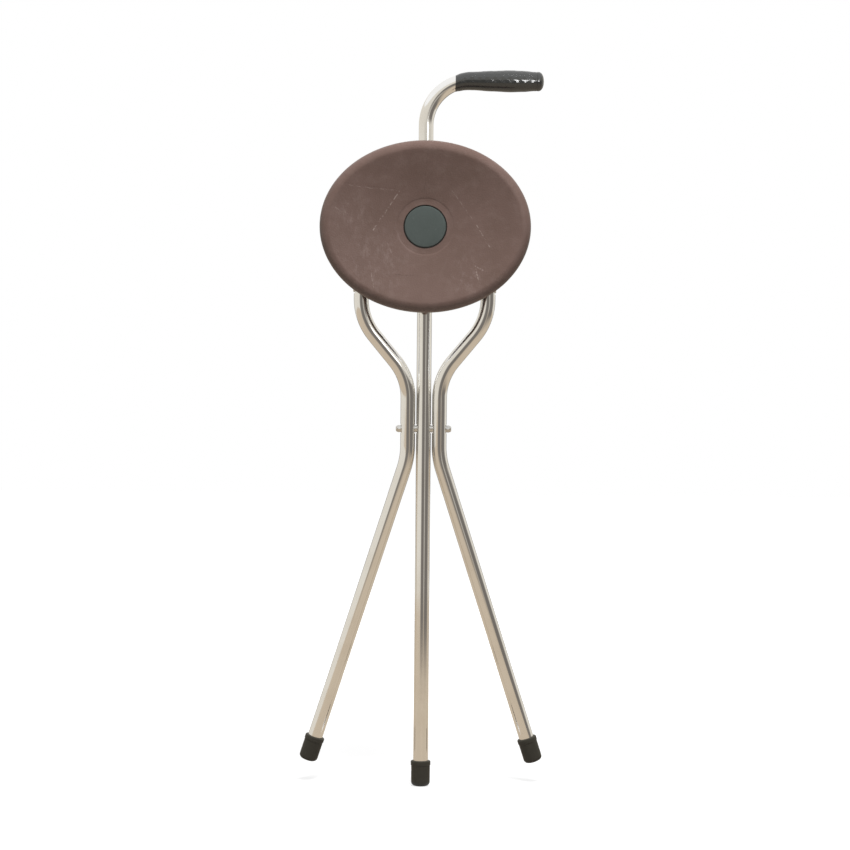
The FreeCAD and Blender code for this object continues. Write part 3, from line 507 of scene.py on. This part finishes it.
def add_rib(vertices, faces, start, end, foot):
    """A moulded rib under the pan between two points of its plan, from foot up into the wall."""
    start, end = Vector(start), Vector(end)
    way = (end - start).normalized()
    across = Vector((-way.y, way.x)) * RIB_THICKNESS / 2
    count = max(2, round((end - start).length / 3))
    first = len(vertices)
    for k in range(count + 1):
        spot = start.lerp(end, k / count)
        top = under_depth(spot.x, spot.y) + RIB_BITE
        low = foot + RIB_CHAMFER
        ring = [(-1, top), (-1, low), (-0.6, foot), (0.6, foot), (1, low), (1, top)]
        for side, depth in ring:
            corner = spot + across * side
            vertices.append(SEAT @ (Vector((corner.x, -depth, corner.y)) * MM))
    for k in range(count):
        for i in range(6):
            j = (i + 1) % 6
            a, b = first + 6 * k, first + 6 * (k + 1)
            faces.append((a + i, a + j, b + j, b + i))
    faces.append(tuple(first + i for i in range(6)))
    faces.append(tuple(first + 6 * count + i for i in reversed(range(6))))


def make_pan():
    rings = [oval_ring(*row, PAN_SEGMENTS) for row in pan_profile()]
    vertices, faces = skin(rings)
    wide, tall = SEAT_HALF
    add_rib(vertices, faces, (RIB_INSET - wide, 0), (-LAND_RADIUS, 0), STANDOFF)
    add_rib(vertices, faces, (LAND_RADIUS, 0), (wide - RIB_INSET, 0), STANDOFF)
    for x in (-RIB_SPACING, 0, RIB_SPACING):
        reach = (tall - RIB_INSET) * math.sqrt(1 - (x / wide) ** 2)
        inner = math.sqrt(max(LAND_RADIUS ** 2 - x * x, 0))
        for way in (-1, 1):
            add_rib(vertices, faces, (x, way * inner), (x, way * reach), STANDOFF)
    half_x, half_z = (half - RIB_THICKNESS / 2 for half in FRAME_HALF)
    for way in (-1, 1):
        add_rib(vertices, faces, (-half_x, way * half_z), (half_x, way * half_z), PLATE_FRONT)
        add_rib(vertices, faces, (way * half_x, -half_z), (way * half_x, half_z), PLATE_FRONT)
    return new_object("moulded_seat", vertices, faces, crease=PAN_CREASE)


def make_cap():
    """A thin disc with a faint crown, a rounded edge and the collar that presses into the well."""
    edge, top, back = CAP_RADIUS, DISH_FLOOR, DISH_FLOOR - RECESS_DEPTH
    rows = [(0, top), (12, top - 0.02), (edge - 1.6, top - 0.12), (edge - 0.9, top - 0.2),
            (edge - 0.4, top - 0.4), (edge - 0.1, top - 0.85), (edge - 0.1, back),
            (WELL_RADIUS, back), (WELL_RADIUS, back - 2.4), (WELL_RADIUS - 1.6, back - 2.4),
            (WELL_RADIUS - 1.6, back), (0, back)]
    rings = [oval_ring(radius, radius, depth, CAP_SEGMENTS) for radius, depth in rows]
    return new_object("screw_cover", *skin(rings), crease=CAP_CREASE)


# Materials


class Nodes:
    """Short names for building the node tree of a material or of the world."""

    def __init__(self, owner):
        owner.use_nodes = True
        self.owner = owner
        self.tree = owner.node_tree

    def add(self, kind, settings=None, **inputs):
        node = self.tree.nodes.new(kind)
        for key, setting in (settings or {}).items():
            setattr(node, key, setting)
        for key, source in inputs.items():
            self.feed(node, key, source)
        return node

    def feed(self, node, key, source):
        socket = node.inputs[int(key[1:])] if key[0] == "i" and key[1:].isdigit() else node.inputs[key]
        if isinstance(source, bpy.types.NodeSocket):
            self.tree.links.new(source, socket)
        elif isinstance(source, bpy.types.Node):
            self.tree.links.new(source.outputs[0], socket)
        else:
            socket.default_value = source

    def math(self, operation, a, b=0.0):
        return self.add("ShaderNodeMath", {"operation": operation}, i0=a, i1=b)

    def place(self):
        return self.add("ShaderNodeTexCoord").outputs["Object"]

    def scaled(self, vector, scale):
        return self.add("ShaderNodeMapping", Vector=vector, Scale=scale)

    def noise(self, vector, scale, detail, roughness):
        return self.add("ShaderNodeTexNoise", Vector=vector, Scale=scale, Detail=detail,
                        Roughness=roughness).outputs["Fac"]

    def range(self, source, low, high, to_low=0.0, to_high=1.0):
        return self.add("ShaderNodeMapRange", Value=source, **{
            "From Min": low, "From Max": high, "To Min": to_low, "To Max": to_high})

    def mix(self, share, first, second, blend="MIX"):
        node = self.add("ShaderNodeMix", {"data_type": "RGBA", "blend_type": blend})
        self.feed(node, "i0", share)
        self.feed(node, "i6", first)
        self.feed(node, "i7", second)
        return node.outputs[2]

    def bump(self, height, strength, distance):
        return self.add("ShaderNodeBump", Height=height, Strength=strength, Distance=distance)

    def principled(self, inputs):
        """The material's own shader, with its inputs set."""
        shader = self.tree.nodes["Principled BSDF"]
        for key, source in inputs.items():
            self.feed(shader, key, source)
        return shader

    def surface(self, source):
        self.feed(self.tree.nodes["Material Output"], "Surface", source)


def new_material(name):
    return Nodes(bpy.data.materials.new(name))


def rgb(red, green, blue):
    """A colour given as it shows on screen, from 0 to 255."""
    def linear(value):
        value /= 255
        return value / 12.92 if value <= 0.04045 else ((value + 0.055) / 1.055) ** 2.4
    return (linear(red), linear(green), linear(blue), 1.0)


def drawn_aluminium():
    """Bright tube with fine lines along it from drawing, dull patches and small nicks."""
    n = new_material("drawn_aluminium")
    drawn = n.add("ShaderNodeAttribute", {"attribute_name": "drawn"}).outputs["Vector"]
    lines = n.noise(n.scaled(drawn, (900, 900, 1.6)), 1.0, 6.0, 0.6)
    coarse = n.noise(n.scaled(drawn, (220, 220, 1.2)), 1.0, 3.0, 0.5)
    patches = n.noise(drawn, 34, 4.0, 0.6)
    nicks = n.range(n.noise(n.scaled(drawn, (700, 700, 300)), 1.0, 3.0, 0.7), 0.70, 0.76)
    tone = n.mix(coarse, rgb(236, 235, 232), rgb(246, 245, 243))
    tone = n.mix(n.range(patches, 0.45, 0.75, 0.0, 0.3), tone, rgb(222, 217, 209))
    tone = n.mix(n.math("MULTIPLY", nicks, 0.25), tone, rgb(150, 146, 140))
    rough = n.math("ADD", n.range(lines, 0.3, 0.7, 0.06, 0.11), n.range(patches, 0.4, 0.7, 0.0, 0.04))
    height = n.math("ADD", n.math("MULTIPLY", lines, 0.6), coarse)
    n.principled({"Base Color": tone, "Metallic": 1.0, "Roughness": rough,
                  "Normal": n.bump(height, 0.04, 0.0002)})
    return n.owner


# How far the scratches on the seat stray from a straight line, in metres
WANDER = 0.003


def scratch(n, flat, start, end, width, share):
    """A mask along a line across the seat's face."""
    a = Vector((start[0], 0, start[1])) * MM
    way = (Vector((end[0], 0, end[1])) * MM) - a
    middle = Vector((WANDER, 0, WANDER)) / 2
    away = n.add("ShaderNodeVectorMath", {"operation": "SUBTRACT"}, i0=flat, i1=tuple(a + middle))
    along = n.add("ShaderNodeVectorMath", {"operation": "DOT_PRODUCT"},
                  i0=away, i1=tuple(way / way.length_squared)).outputs["Value"]
    held = n.add("ShaderNodeClamp", Value=along)
    near = n.add("ShaderNodeVectorMath", {"operation": "SCALE"}, i0=tuple(way), Scale=held)
    gap = n.add("ShaderNodeVectorMath", {"operation": "SUBTRACT"}, i0=away, i1=near)
    length = n.add("ShaderNodeVectorMath", {"operation": "LENGTH"}, i0=gap).outputs["Value"]
    return n.range(length, width * MM * 0.3, width * MM, share, 0.0)


# Scratches across the seat, each from one point to another in millimetres right of and above its middle,
# with their width and how strongly they show
PALE_SCRATCHES = [
    ((-98, 48), (-31, 41), 0.6, 0.3),
    ((-31, 41), (-61, -5), 0.8, 0.55),
    ((31, 42), (60, 2), 0.7, 0.3),
    ((60, 2), (76, -24), 0.9, 0.5),
    ((-66, -32), (-60, -73), 0.7, 0.3),
    ((59, -46), (63, -65), 1.2, 0.45),
    ((62, -48), (68, -52), 1.1, 0.35),
    ((-106, 22), (-94, 12), 0.8, 0.3),
    ((-94, 12), (-90, 26), 0.8, 0.25),
    ((-44, -20), (-38, -34), 0.7, 0.25),
]
DARK_SCRATCHES = [
    ((-43, -57), (-8, -58), 0.8, 0.5),
    ((2, 88), (-2, 34), 0.6, 0.3),
    ((-96, 50), (-33, 43), 0.6, 0.3),
]
# Middles of the pale places in the dish, given like the scratches, with how far they reach: real hazy
# scuffs and also a painted sheen that lightens the dish towards the lower left
SCUFFS_AND_SHEEN = [((-60, -42), 55), ((52, -60), 36), ((-84, 10), 30)]
GAP_RADIUS = RECESS_RADIUS - 0.1


def seat_plastic():
    """Brown moulded plastic with a leather grain, hazy scuffs and old scratches, a painted sheen lighter
    towards the lower left of the dish and painted shade in the gap round the cap.
    """
    n = new_material("seat_plastic")
    local = n.add("ShaderNodeVectorMath", {"operation": "SUBTRACT"}, i0=n.place(),
                  i1=tuple(SEAT.translation))
    flat = n.add("ShaderNodeVectorMath", {"operation": "MULTIPLY"}, i0=local, i1=(1, 0, 1))
    clouds = n.noise(local, 22, 6.0, 0.65)
    haze = n.noise(n.scaled(local, (60, 60, 75)), 1.0, 6.0, 0.7)
    grain = n.noise(local, 900, 3.0, 0.6)
    cells = n.add("ShaderNodeTexVoronoi", Vector=local, Scale=620.0).outputs["Distance"]
    tone = n.mix(n.range(clouds, 0.3, 0.7), rgb(102, 81, 73), rgb(112, 90, 83))
    tone = n.mix(n.range(haze, 0.5, 0.8, 0.0, 0.35), tone, rgb(134, 115, 108))
    # Paler patches, partly real scuffs and partly a painted sheen that lightens the dish towards the lower
    # left
    scuffs_and_sheen = None
    for (x, z), reach in SCUFFS_AND_SHEEN:
        away = n.add("ShaderNodeVectorMath", {"operation": "DISTANCE"}, i0=flat,
                     i1=(x * MM, 0, z * MM)).outputs["Value"]
        patch = n.range(away, 0.2 * reach * MM, reach * MM, 1.0, 0.0)
        scuffs_and_sheen = patch if scuffs_and_sheen is None else n.math("MAXIMUM", scuffs_and_sheen, patch)
    sheen_smears = n.range(n.noise(n.scaled(local, (150, 150, 80)), 1.0, 6.0, 0.75), 0.5, 0.68)
    tone = n.mix(n.math("MULTIPLY", n.math("MULTIPLY", scuffs_and_sheen, sheen_smears), 0.42), tone, rgb(146, 128, 122))
    wander = n.add("ShaderNodeTexNoise", Vector=local, Scale=70.0, Detail=2.0).outputs["Color"]
    wandering = n.add("ShaderNodeVectorMath", {"operation": "MULTIPLY_ADD"}, i0=wander,
                      i1=(WANDER, 0, WANDER), i2=flat)
    broken = n.range(n.noise(local, 330, 3.0, 0.7), 0.47, 0.58)
    for scratches, colour in ((PALE_SCRATCHES, rgb(176, 160, 152)), (DARK_SCRATCHES, rgb(66, 50, 45))):
        marks = None
        for start, end, width, share in scratches:
            mask = scratch(n, wandering, start, end, width, share)
            marks = mask if marks is None else n.math("MAXIMUM", marks, mask)
        tone = n.mix(n.math("MULTIPLY", marks, broken), tone, colour)
    # Painted shade: a dark ring along the narrow gap round the cap, where the recess lies in shadow
    off = n.add("ShaderNodeVectorMath", {"operation": "LENGTH"}, i0=flat).outputs["Value"]
    from_shaded_gap = n.math("ABSOLUTE", n.math("SUBTRACT", off, GAP_RADIUS * MM))
    tone = n.mix(n.range(from_shaded_gap, 0.0006, 0.0012, 0.95, 0.0), tone, rgb(34, 28, 26))
    rough = n.range(haze, 0.35, 0.7, 0.36, 0.48)
    fine = n.bump(n.math("ADD", n.math("MULTIPLY", grain, 0.5), cells), 0.35, 0.0002)
    n.principled({"Base Color": tone, "Roughness": rough, "Normal": fine,
                  "Specular IOR Level": 0.5})
    return n.owner


def moulded(name, low, high, rough, grain_scale, grain_depth, specular=0.5):
    """A moulded plastic or rubber: two close tones, a fine grain and worn paler specks."""
    n = new_material(name)
    place = n.place()
    clouds = n.noise(place, 40, 4.0, 0.6)
    grain = n.noise(place, grain_scale, 4.0, 0.6)
    specks = n.range(n.noise(place, 260, 4.0, 0.7), 0.62, 0.74, 0.0, 0.3)
    tone = n.mix(clouds, low, high)
    tone = n.mix(specks, tone, tuple(min(c * 1.8 + 0.01, 1) for c in high[:3]) + (1,))
    roughness = n.range(clouds, 0.3, 0.7, rough - 0.06, rough + 0.06)
    n.principled({"Base Color": tone, "Roughness": roughness,
                  "Normal": n.bump(grain, 0.3, grain_depth), "Specular IOR Level": specular})
    return n.owner


def plated_steel(name, low, high, rough):
    """Plated or turned steel: fine scratches every way, darker stains and a soft gloss."""
    n = new_material(name)
    place = n.place()
    lines = n.noise(n.scaled(place, (600, 90, 600)), 1.0, 5.0, 0.65)
    stains = n.noise(place, 70, 5.0, 0.65)
    tone = n.mix(n.range(stains, 0.35, 0.7), low, high)
    roughness = n.range(lines, 0.3, 0.7, rough - 0.07, rough + 0.08)
    n.principled({"Base Color": tone, "Metallic": 1.0, "Roughness": roughness,
                  "Normal": n.bump(lines, 0.12, 0.0002)})
    return n.owner


def paint(obj, material):
    obj.data.materials.clear()
    obj.data.materials.append(material)


# The pieces, the bodies they ride on, the nodes they replace and their slots

aluminium = drawn_aluminium()
seat_brown = seat_plastic()
cap_grey = moulded("cap_plastic", rgb(68, 76, 73), rgb(78, 86, 84), 0.5, 900, 0.0001)
grip_black = moulded("grip_rubber", rgb(42, 43, 42), rgb(50, 51, 50), 0.14, 500, 0.000008, 0.8)
ferrule_black = moulded("ferrule_rubber", rgb(53, 51, 44), rgb(63, 60, 53), 0.55, 800, 0.0001, 0.3)
nylon = moulded("nylon", rgb(205, 202, 192), rgb(222, 219, 210), 0.45, 700, 0.0001)
sleeve_black = moulded("sleeve_plastic", rgb(45, 45, 46), rgb(58, 58, 58), 0.45, 700, 0.0001)
bracket = plated_steel("bracket_steel", rgb(150, 152, 154), rgb(186, 188, 190), 0.34)
hardware = plated_steel("hardware_steel", rgb(200, 199, 196), rgb(226, 225, 222), 0.36)

SLOT_MATERIALS = {
    "aluminium_tube": aluminium, "grip_rubber": grip_black, "ferrule_rubber": ferrule_black,
    "seat_plastic": seat_brown, "cap_plastic": cap_grey, "nylon": nylon,
    "sleeve_plastic": sleeve_black, "bracket_steel": bracket, "hardware_steel": hardware,
}


def dress(obj, body, node, slot):
    """Puts a built piece in the place of a CAD node."""
    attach(obj, body)
    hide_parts(node)
    paint(obj, SLOT_MATERIALS[slot])


dress(make_stick(), "stick", "stick_tube", "aluminium_tube")
dress(make_leg(-1, "drawn_leg_left"), "legs", "left_leg", "aluminium_tube")
dress(make_leg(1, "drawn_leg_right"), "legs", "right_leg", "aluminium_tube")
foot = Matrix.Translation((-STICK_OFFSET * MM, 0, -HANDLE_HEIGHT * MM))
dress(make_ferrule("foot_rubber_middle", foot), "stick", "stick_ferrule", "ferrule_rubber")
dress(make_ferrule("foot_rubber_left", foot_place(-1)), "legs", "left_ferrule", "ferrule_rubber")
dress(make_ferrule("foot_rubber_right", foot_place(1)), "legs", "right_ferrule", "ferrule_rubber")
grip = make_grip()
dress(grip, "stick", "hand_grip", "grip_rubber")
dress(make_pan(), "seat", "seat_pan", "seat_plastic")
dress(make_cap(), "seat", "seat_cap", "cap_plastic")

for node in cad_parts.values():
    slots = [slot for slot in node.data.materials if slot is not None]
    names = [s for s in SLOT_MATERIALS if any(m.name.startswith(s) for m in slots)]
    paint(node, SLOT_MATERIALS[names[0]] if names else hardware)


# Studio

CAMERA_DISTANCE = 2.7
FOCAL_PIXELS = 2271.4
PHOTO_SIDE = 850
SENSOR_WIDTH = 36
TILT = math.radians(0.096)
PAN = math.radians(0.037)
ROLL = math.radians(0.507)
FLOOR_HEIGHT = -HANDLE_HEIGHT * MM
FLOOR_HALF = 12
FLOOR_TONES = ((0.34, 0.34, 0.34, 1), (0.36, 0.36, 0.36, 1))
# How strongly the floor glows under the stick, and from how far out it glows in full
FLOOR_GLOW = 0.7
GLOW_START = 0.4
GLOW_END = 1.2
WORLD_LIGHT = 0.22
WHITE = (1, 1, 1, 1)
# The corners of a square face, in order round it
CORNERS = ((-1, -1), (1, -1), (1, 1), (-1, 1))


def make_camera():
    data = bpy.data.cameras.new("camera")
    data.sensor_width = SENSOR_WIDTH
    data.lens = FOCAL_PIXELS / PHOTO_SIDE * SENSOR_WIDTH
    data.clip_end = 100
    camera = bpy.data.objects.new("camera", data)
    ahead = Vector((math.sin(PAN) * math.cos(TILT), math.cos(PAN) * math.cos(TILT), math.sin(TILT)))
    level = Vector((math.cos(PAN), -math.sin(PAN), 0))
    rise = level.cross(ahead)
    across = level * math.cos(ROLL) + rise * math.sin(ROLL)
    over = rise * math.cos(ROLL) - level * math.sin(ROLL)
    turn = Matrix((across, over, -ahead)).transposed()
    stand = Matrix.Translation((-STICK_OFFSET * MM, -CAMERA_DISTANCE, -PIVOT_DROP * MM))
    camera.matrix_world = stand @ turn.to_4x4()
    bpy.context.scene.collection.objects.link(camera)
    bpy.context.scene.camera = camera


def seen_plainly(n):
    """1 for a ray from the camera, a mirror or glass, and 0 for light that bounces off dull things."""
    path = n.add("ShaderNodeLightPath")
    plain = n.math("MAXIMUM", path.outputs["Is Camera Ray"], path.outputs["Is Glossy Ray"])
    return n.math("MAXIMUM", plain, path.outputs["Is Transmission Ray"])


def make_floor():
    corners = [(FLOOR_HALF * i, FLOOR_HALF * k, FLOOR_HEIGHT) for i, k in CORNERS]
    floor = new_object("floor", corners, [(0, 1, 2, 3)])
    n = new_material("floor_white")
    tone = n.mix(n.noise(n.place(), 3, 2.0, 0.5), *FLOOR_TONES)
    dull = n.principled({"Base Color": tone, "Roughness": 0.9, "Specular IOR Level": 0.0})
    away = n.add("ShaderNodeVectorMath", {"operation": "DISTANCE"}, i0=n.place(),
                 i1=(-STICK_OFFSET * MM, 0, FLOOR_HEIGHT))
    level = n.range(away.outputs["Value"], GLOW_START, GLOW_END, FLOOR_GLOW, 1.0)
    strength = n.math("MULTIPLY", seen_plainly(n), level)
    glow = n.add("ShaderNodeEmission", Color=WHITE, Strength=strength)
    n.surface(n.add("ShaderNodeAddShader", i0=dull, i1=glow))
    paint(floor, n.owner)


def make_world():
    world = bpy.data.worlds.new("studio")
    bpy.context.scene.world = world
    n = Nodes(world)
    back = n.tree.nodes["Background"]
    n.feed(back, "Color", WHITE)
    n.feed(back, "Strength", n.range(seen_plainly(n), 0.0, 1.0, WORLD_LIGHT, 1.0))


# The room that shiny pieces mirror: light walls, a warm floor and darker screens. Each screen has the
# bearing of its middle, in degrees from the camera's side, growing to the right, and its reach each way
WALL_TONE = rgb(230, 225, 215)
GROUND_TONE = rgb(205, 190, 170)
SCREEN_TONE = rgb(120, 115, 110)
SCREENS = ((0, 30), (60, 40), (160, 20), (-160, 20))
# The screens end between these heights, and darken the floor between these distances from the stick
SCREEN_TOP = (0.4, 0.0)
SCREEN_GROUND = (1.0, 2.0)
ROOM_RADIUS = 3.0
ROOM_TOP = 1.6
# The floor's card lies this far above the floor, with a small hole in its middle
CARD_LIFT = 0.0005
CARD_HOLE = 0.02
PANE_COLOUR = (0.95, 0.98, 1.0, 1)


def screened(n, bearing):
    """How far a bearing lies inside a screen, from 0 to 1."""
    inside = None
    for degrees, reach in SCREENS:
        off = n.math("COSINE", n.math("SUBTRACT", bearing, math.radians(degrees)))
        share = n.range(off, math.cos(math.radians(reach)), math.cos(math.radians(reach / 2)))
        inside = share if inside is None else n.math("MAXIMUM", inside, share)
    return inside


def only_mirrored(obj):
    """Keeps a card or a window of the room out of sight, apart from its reflections."""
    obj.visible_camera = False
    obj.visible_diffuse = False
    obj.visible_shadow = False


def room_card(name, rims, tone, by_height, fade):
    """A ring of painted card round the stick, on which the screens fade in."""
    card = new_object(name, *skin(rims), crease=180)
    n = new_material(name)
    place = n.add("ShaderNodeSeparateXYZ", Vector=n.place())
    x = n.math("ADD", place.outputs["X"], STICK_OFFSET * MM)
    y = n.math("MULTIPLY", place.outputs["Y"], -1.0)
    bearing = n.math("ARCTAN2", x, y)
    square = n.math("ADD", n.math("MULTIPLY", x, x), n.math("MULTIPLY", y, y))
    position = place.outputs["Z"] if by_height else n.math("SQRT", square)
    inside = n.math("MULTIPLY", screened(n, bearing), n.range(position, *fade))
    n.surface(n.add("ShaderNodeEmission", Color=n.mix(inside, tone, SCREEN_TONE)))
    paint(card, n.owner)
    only_mirrored(card)


def room_rim(radius, height, count=96):
    rim = []
    for k in range(count):
        angle = 2 * math.pi * k / count
        x = radius * math.cos(angle) - STICK_OFFSET * MM
        rim.append(Vector((x, radius * math.sin(angle), height)))
    return rim


def make_room():
    """The wall and the floor that the metal reflects."""
    wall = [room_rim(ROOM_RADIUS, FLOOR_HEIGHT), room_rim(ROOM_RADIUS, ROOM_TOP)]
    room_card("room_wall", wall, WALL_TONE, True, SCREEN_TOP)
    level = FLOOR_HEIGHT + CARD_LIFT
    ground = [room_rim(CARD_HOLE, level), room_rim(ROOM_RADIUS, level)]
    room_card("room_floor", ground, GROUND_TONE, False, SCREEN_GROUND)


def make_window(name, bearing, distance, height, size, strength):
    """A bright upright pane, at a bearing from the camera's side, that glossy pieces mirror."""
    wide, tall = size
    turn = math.radians(bearing)
    middle = Vector((distance * math.sin(turn) - STICK_OFFSET * MM, -distance * math.cos(turn), height))
    across = Vector((math.cos(turn), math.sin(turn), 0)) * wide / 2
    corners = [middle + across * i + UP * tall / 2 * k for i, k in CORNERS]
    pane = new_object(name, corners, [(0, 1, 2, 3)])
    n = new_material(name)
    n.surface(n.add("ShaderNodeEmission", Color=PANE_COLOUR, Strength=strength))
    paint(pane, n.owner)
    only_mirrored(pane)


LAMP_AIM = Vector((-STICK_OFFSET * MM, 0, -0.2))


def make_lamp(name, place, size, power):
    """A round soft lamp aimed at the seat, which glossy pieces don't mirror."""
    data = bpy.data.lights.new(name, "AREA")
    data.shape = "DISK"
    data.size = size
    data.energy = power
    lamp = bpy.data.objects.new(name, data)
    lamp.location = place
    lamp.rotation_euler = (LAMP_AIM - Vector(place)).to_track_quat("-Z", "Y").to_euler()
    lamp.visible_glossy = False
    bpy.context.scene.collection.objects.link(lamp)
    return lamp


def make_grip_lamp(grip):
    """A lamp that lights only the grip and shows in its gloss."""
    lamp = make_lamp("grip_lamp", (0.5, -2.6, -0.02), 0.46, 16)
    lamp.visible_glossy = True
    gripped = bpy.data.collections.new("gripped")
    gripped.objects.link(grip)
    lamp.light_linking.receiver_collection = gripped


make_camera()
make_floor()
make_world()
make_room()
make_grip_lamp(grip)
make_window("tall_window", bearing=27, distance=2.55, height=0.75, size=(0.7, 1.0), strength=3)
make_lamp("key_lamp", (0.2, -1.15, 1.85), 0.9, 74)
make_lamp("rear_lamp", (0.6, 2.4, 1.4), 1.4, 62)

scene = bpy.context.scene
scene.view_settings.view_transform = "Standard"
